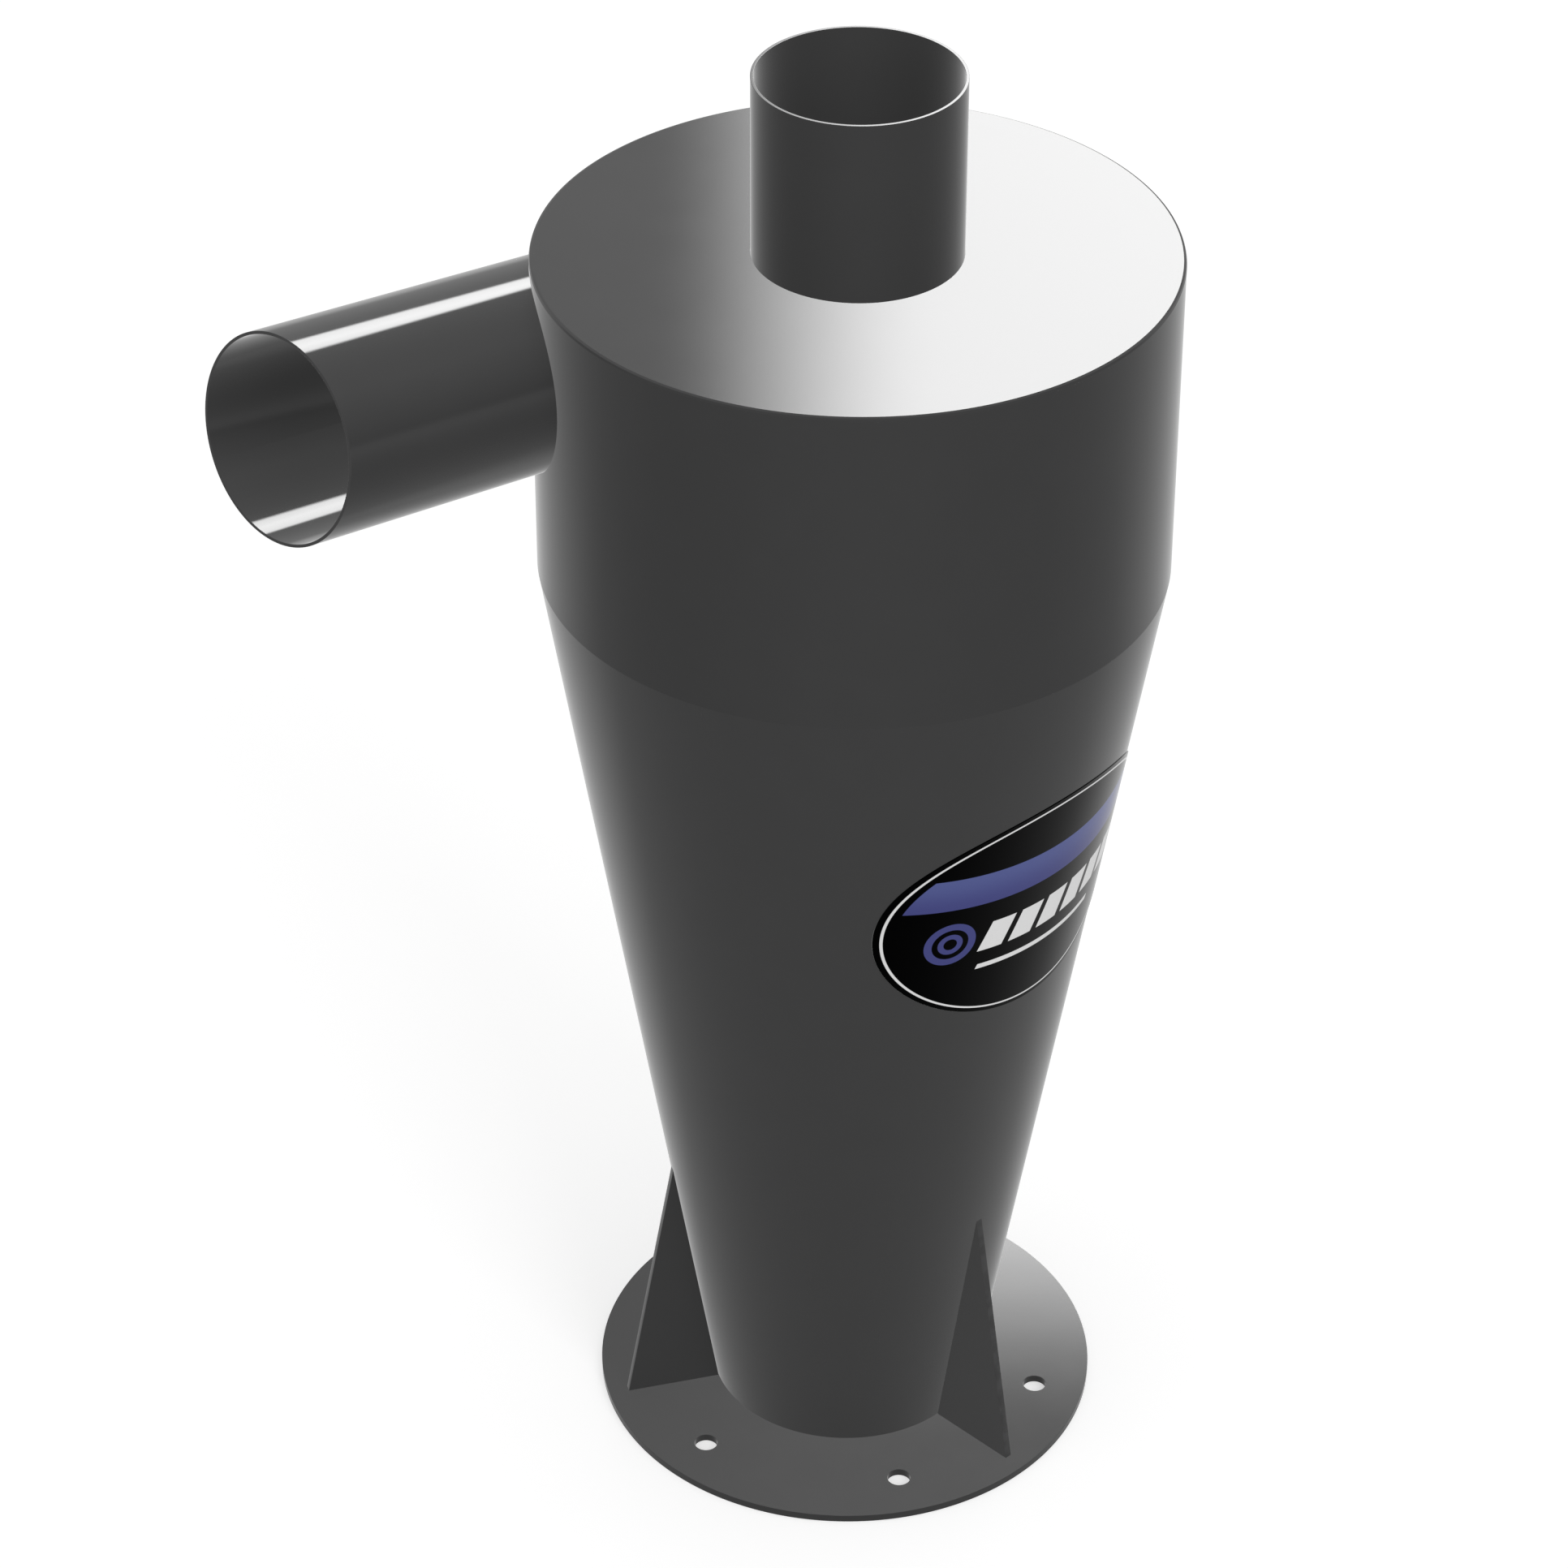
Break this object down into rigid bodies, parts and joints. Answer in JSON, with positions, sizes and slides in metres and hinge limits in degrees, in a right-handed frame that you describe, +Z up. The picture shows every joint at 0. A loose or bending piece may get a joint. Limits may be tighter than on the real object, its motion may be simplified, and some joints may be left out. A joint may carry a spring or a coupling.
{
  "type": "cyclone dust collector",
  "caption": "Sheet-metal cyclone dust collector with a tangential inlet duct, a central outlet duct, a cone and a bolted base flange.",
  "frame": {"origin": "centre of the base flange's underside, on the cyclone's axis", "axes": "+Z up along the cyclone's axis; the inlet duct opens towards -X; the label faces -Y"},
  "size_m": [0.4295, 0.306, 0.767],
  "materials": {
    "powder_coat": "satin black powder coat on steel sheet",
    "label_film": "smooth printed film, black with a pale line and blue bands"
  },
  "bodies": {
    "root": {"base_flange": "powder_coat", "cone": "powder_coat", "barrel": "powder_coat", "lid_plate": "powder_coat", "outlet_tube": "powder_coat", "inlet_tube": "powder_coat", "gusset_front": "powder_coat", "gusset_right": "powder_coat", "gusset_left": "powder_coat", "label": "label_film"}
  },
  "joints": []
}
